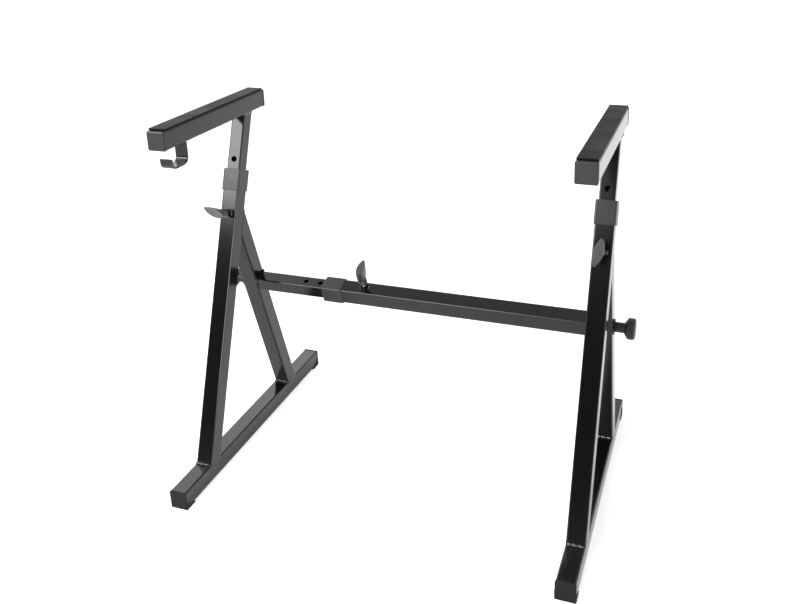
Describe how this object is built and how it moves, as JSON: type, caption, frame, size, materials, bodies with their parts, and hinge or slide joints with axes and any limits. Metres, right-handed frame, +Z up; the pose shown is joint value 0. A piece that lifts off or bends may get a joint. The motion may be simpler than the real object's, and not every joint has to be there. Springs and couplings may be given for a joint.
{
  "type": "keyboard stand",
  "caption": "Stand for a keyboard instrument: welded A-frames of square tube, a telescopic crossbar, arms that slide up on leaning posts, and a headphone hook.",
  "frame": {"origin": "on the floor, midway between the two feet in both directions", "axes": "+X to the player's right along the crossbar, +Y from the player towards the back, +Z up"},
  "size_m": [0.7472, 0.5036, 0.6391],
  "materials": {
    "powder_coat": "semi-gloss black powder coat",
    "black_plastic": "moulded black plastic",
    "plated_steel": "bright plating",
    "strip_rubber": "soft matt rubber"
  },
  "bodies": {
    "right_frame": {"right_foot_tube": "powder_coat", "right_foot_cap_front": "black_plastic", "right_foot_cap_rear": "black_plastic", "right_post_tube": "powder_coat", "right_post_collar": "black_plastic", "right_post_weld_nut": "powder_coat", "right_brace_tube": "powder_coat", "right_knob_washer": "plated_steel", "crossbar_outer_tube": "powder_coat", "crossbar_collar": "black_plastic", "crossbar_weld_nut": "powder_coat", "crossbar_outer_end_plug": "black_plastic"},
    "left_frame": {"left_foot_tube": "powder_coat", "left_foot_cap_front": "black_plastic", "left_foot_cap_rear": "black_plastic", "left_post_tube": "powder_coat", "left_post_collar": "black_plastic", "left_post_weld_nut": "powder_coat", "left_brace_tube": "powder_coat", "left_knob_washer": "plated_steel", "crossbar_inner_tube": "powder_coat", "crossbar_inner_guide": "black_plastic", "crossbar_inner_end_plug": "black_plastic"},
    "right_upright": {"right_upright_tube": "powder_coat", "right_upright_guide": "black_plastic", "right_arm_tube": "powder_coat", "right_arm_cap_front": "black_plastic", "right_arm_cap_rear": "black_plastic", "right_arm_strip": "strip_rubber"},
    "right_post_screw": {"right_post_lever_screw": "plated_steel"},
    "right_post_handle": {"right_post_lever_handle": "black_plastic"},
    "right_end_screw": {"right_knob_screw": "plated_steel"},
    "right_end_knob": {"right_end_knob": "black_plastic"},
    "left_upright": {"left_upright_tube": "powder_coat", "left_upright_guide": "black_plastic", "left_arm_tube": "powder_coat", "left_arm_cap_front": "black_plastic", "left_arm_cap_rear": "black_plastic", "left_arm_strip": "strip_rubber", "headphone_hook": "powder_coat"},
    "left_post_screw": {"left_post_lever_screw": "plated_steel"},
    "left_post_handle": {"left_post_lever_handle": "black_plastic"},
    "left_end_screw": {"left_knob_screw": "plated_steel"},
    "left_end_knob": {"left_end_knob": "black_plastic"},
    "crossbar_screw": {"crossbar_lever_screw": "plated_steel"},
    "crossbar_handle": {"crossbar_lever_handle": "black_plastic"}
  },
  "joints": [
    {"name": "width_slide", "type": "slide", "parent": "right_frame", "child": "left_frame", "axis": [-1, 0, 0], "range_m": [-0.116, 0.116]},
    {"name": "right_height_slide", "type": "slide", "parent": "right_frame", "child": "right_upright", "axis": [0, 0.3584, 0.9336], "range_m": [-0.09, 0.19]},
    {"name": "left_height_slide", "type": "slide", "parent": "left_frame", "child": "left_upright", "axis": [0, 0.3584, 0.9336], "range_m": [-0.09, 0.19]},
    {"name": "right_lever_travel", "type": "slide", "parent": "right_frame", "child": "right_post_screw", "axis": [0, -0.9336, 0.3584], "range_m": [0, 0.0025]},
    {"name": "right_lever_turn", "type": "hinge", "parent": "right_post_screw", "child": "right_post_handle", "pos_m": [0.323, -0.04808, 0.45545], "axis": [0, -0.9336, 0.3584], "range_deg": [0, 720]},
    {"name": "left_lever_travel", "type": "slide", "parent": "left_frame", "child": "left_post_screw", "axis": [0, -0.9336, 0.3584], "range_m": [0, 0.0025]},
    {"name": "left_lever_turn", "type": "hinge", "parent": "left_post_screw", "child": "left_post_handle", "pos_m": [-0.323, -0.04808, 0.45545], "axis": [0, -0.9336, 0.3584], "range_deg": [0, 720]},
    {"name": "crossbar_lever_travel", "type": "slide", "parent": "right_frame", "child": "crossbar_screw", "axis": [0, -0.309, 0.9511], "range_m": [0, 0.0025]},
    {"name": "crossbar_lever_turn", "type": "hinge", "parent": "crossbar_screw", "child": "crossbar_handle", "pos_m": [-0.096, 0.03456, 0.3365], "axis": [0, -0.309, 0.9511], "range_deg": [0, 720]},
    {"name": "right_knob_travel", "type": "slide", "parent": "right_frame", "child": "right_end_screw", "axis": [1, 0, 0], "range_m": [0, 0.0025]},
    {"name": "right_knob_turn", "type": "hinge", "parent": "right_end_screw", "child": "right_end_knob", "pos_m": [0.365, 0.05032, 0.288], "axis": [1, 0, 0], "range_deg": [0, 720]},
    {"name": "left_knob_travel", "type": "slide", "parent": "left_frame", "child": "left_end_screw", "axis": [-1, 0, 0], "range_m": [0, 0.0025]},
    {"name": "left_knob_turn", "type": "hinge", "parent": "left_end_screw", "child": "left_end_knob", "pos_m": [-0.365, 0.05032, 0.288], "axis": [-1, 0, 0], "range_deg": [0, 720]}
  ],
  "couplings": [
    {"joint": "right_lever_travel", "follows": "right_lever_turn", "m_per_rad": 0.00019894},
    {"joint": "left_lever_travel", "follows": "left_lever_turn", "m_per_rad": 0.00019894},
    {"joint": "crossbar_lever_travel", "follows": "crossbar_lever_turn", "m_per_rad": 0.00019894},
    {"joint": "right_knob_travel", "follows": "right_knob_turn", "m_per_rad": 0.00019894},
    {"joint": "left_knob_travel", "follows": "left_knob_turn", "m_per_rad": 0.00019894}
  ]
}
